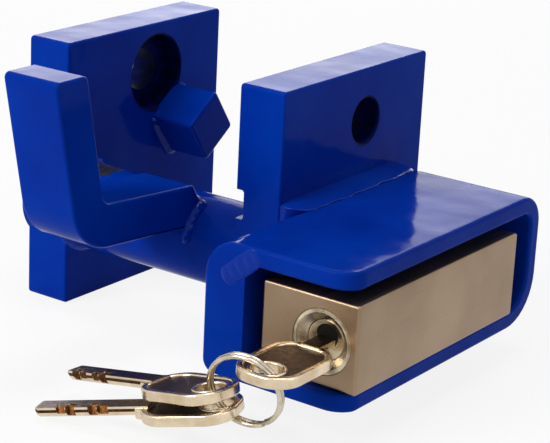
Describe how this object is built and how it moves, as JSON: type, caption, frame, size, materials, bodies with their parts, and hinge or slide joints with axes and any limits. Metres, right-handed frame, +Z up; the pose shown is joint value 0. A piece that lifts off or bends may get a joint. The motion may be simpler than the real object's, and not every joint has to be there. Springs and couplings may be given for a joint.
{
  "type": "trailer coupler lock",
  "caption": "Blue steel coupler lock: two drilled jaws on a sliding shaft, a J hook, and a bent steel box holding a sliding-bolt padlock with its key, split ring and spare keys.",
  "frame": {"origin": "middle of the whole lock's footprint, on the floor plane under the two jaws", "axes": "+Z up; -Y towards the keyhole end of the padlock; +X towards the open side of the box, so -X is the way the left jaw slides off"},
  "size_m": [0.139, 0.1423, 0.087],
  "materials": {
    "blue_enamel": "gloss",
    "nickelled_brass": "satin nickel over brass",
    "polished_steel": "polished",
    "core_steel": "machined",
    "hardened_steel": "ground",
    "brass": "machined",
    "key_nickel": "worn satin nickel",
    "ring_steel": "bright spring steel"
  },
  "bodies": {
    "box": {"right_jaw_plate": "blue_enamel", "back_wall": "blue_enamel", "housing_strap": "blue_enamel", "jaw_top_weld": "blue_enamel"},
    "jaw": {"left_jaw_plate": "blue_enamel", "locking_shaft": "blue_enamel", "coupler_hook": "blue_enamel", "socket_block": "blue_enamel", "shaft_root_weld": "blue_enamel", "hook_side_weld_left": "blue_enamel", "hook_side_weld_right": "blue_enamel"},
    "padlock": {"padlock_body": "nickelled_brass", "face_dish": "polished_steel", "cylinder_shell": "core_steel", "shell_pin": "core_steel", "end_cap": "core_steel"},
    "plug": {"plug": "polished_steel", "disc_stack": "brass", "sidebar": "core_steel", "drive_rod": "core_steel"},
    "bolt": {"locking_bolt": "hardened_steel", "bolt_yoke": "core_steel"},
    "key": {"inserted_key": "key_nickel"},
    "ring": {"split_ring": "ring_steel"},
    "spare_low": {"spare_key_low": "key_nickel"},
    "spare_high": {"spare_key_high": "key_nickel"}
  },
  "joints": [
    {"name": "jaw_slide", "type": "slide", "parent": "box", "child": "jaw", "axis": [-1, 0, 0], "range_m": [0, 0.04]},
    {"name": "padlock_slide", "type": "slide", "parent": "box", "child": "padlock", "axis": [1, 0, 0], "range_m": [0, 0.045]},
    {"name": "plug_turn", "type": "hinge", "parent": "padlock", "child": "plug", "pos_m": [0.0585, -0.016, 0.02725], "axis": [0, 1, 0], "range_deg": [0, 90]},
    {"name": "bolt_throw", "type": "slide", "parent": "padlock", "child": "bolt", "axis": [0, -1, 0], "range_m": [0, 0.0203]},
    {"name": "key_draw", "type": "slide", "parent": "plug", "child": "key", "axis": [0, -1, 0], "range_m": [0, 0.036]},
    {"name": "ring_turn", "type": "hinge", "parent": "key", "child": "ring", "pos_m": [0.05189, -0.05348, 0.0194], "axis": [0.1547, -0.9658, -0.2083], "range_deg": [-3, 12]},
    {"name": "spare_low_swing", "type": "hinge", "parent": "ring", "child": "spare_low", "pos_m": [0.04392, -0.05348, 0.01353], "axis": [-0.573, -0.2594, 0.7774], "range_deg": [0, 30]},
    {"name": "spare_high_swing", "type": "hinge", "parent": "ring", "child": "spare_high", "pos_m": [0.04217, -0.05473, 0.018], "axis": [-0.1109, -0.2264, 0.9677], "range_deg": [-25, 0]}
  ],
  "couplings": [
    {"joint": "bolt_throw", "follows": "plug_turn", "m_per_rad": 0.012923}
  ]
}
